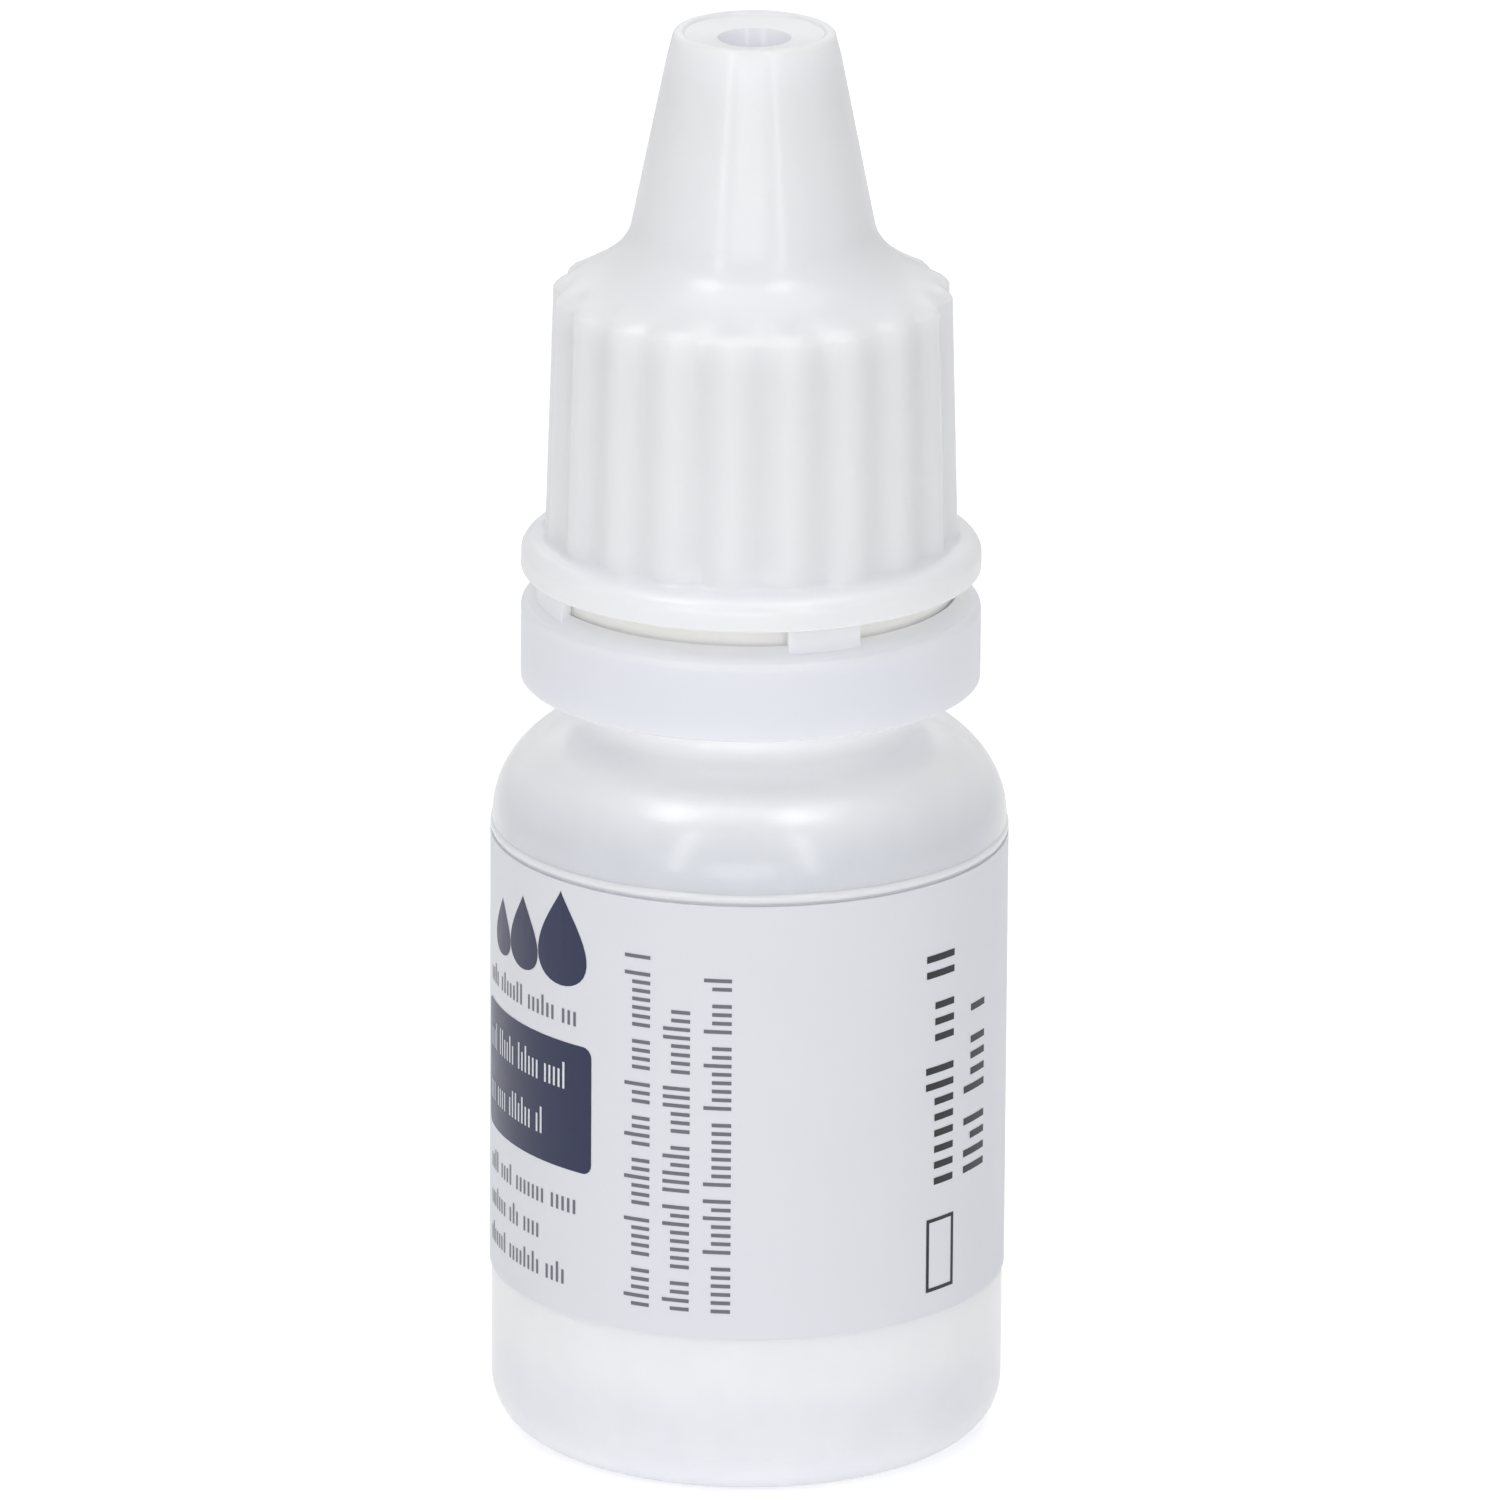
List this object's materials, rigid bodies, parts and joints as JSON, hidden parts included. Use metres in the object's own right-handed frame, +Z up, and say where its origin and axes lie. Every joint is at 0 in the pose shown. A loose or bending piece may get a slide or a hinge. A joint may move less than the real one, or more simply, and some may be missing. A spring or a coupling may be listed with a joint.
{
  "type": "eye drop bottle",
  "caption": "Small squeeze bottle for eye drops: press-in dropper nozzle, ribbed screw cap with a long hollow cone, tamper ring on the neck and a wrap-round label.",
  "frame": {"origin": "centre of the base, on the surface that the bottle stands on", "axes": "+Z up along the bottle's axis and the cap's thread; -Y is the front of the label, as pictured; +X is the picture's right"},
  "size_m": [0.0242, 0.0241, 0.0676],
  "materials": {
    "bottle_plastic": "satin, milky translucent",
    "dropper_plastic": "satin, milky translucent",
    "cap_plastic": "satin white",
    "ring_plastic": "satin, slightly translucent white",
    "label_film": "semi-gloss printed film",
    "liquid": "clear liquid"
  },
  "bodies": {
    "bottle": {"bottle": "bottle_plastic", "dropper_insert": "dropper_plastic", "label": "label_film", "eye_drops": "liquid"},
    "tamper_ring": {"tamper_ring": "ring_plastic"},
    "screw_cap": {"screw_cap": "cap_plastic"}
  },
  "joints": [
    {"name": "cap_turn", "type": "hinge", "parent": "bottle", "child": "tamper_ring", "pos_m": [0, 0, 0.0388], "axis": [0, 0, 1], "range_deg": [0, 3240]},
    {"name": "cap_lift", "type": "slide", "parent": "tamper_ring", "child": "screw_cap", "axis": [0, 0, 1], "range_m": [0, 0.027]}
  ],
  "couplings": [
    {"joint": "cap_lift", "follows": "cap_turn", "m_per_rad": 0.00047746}
  ]
}
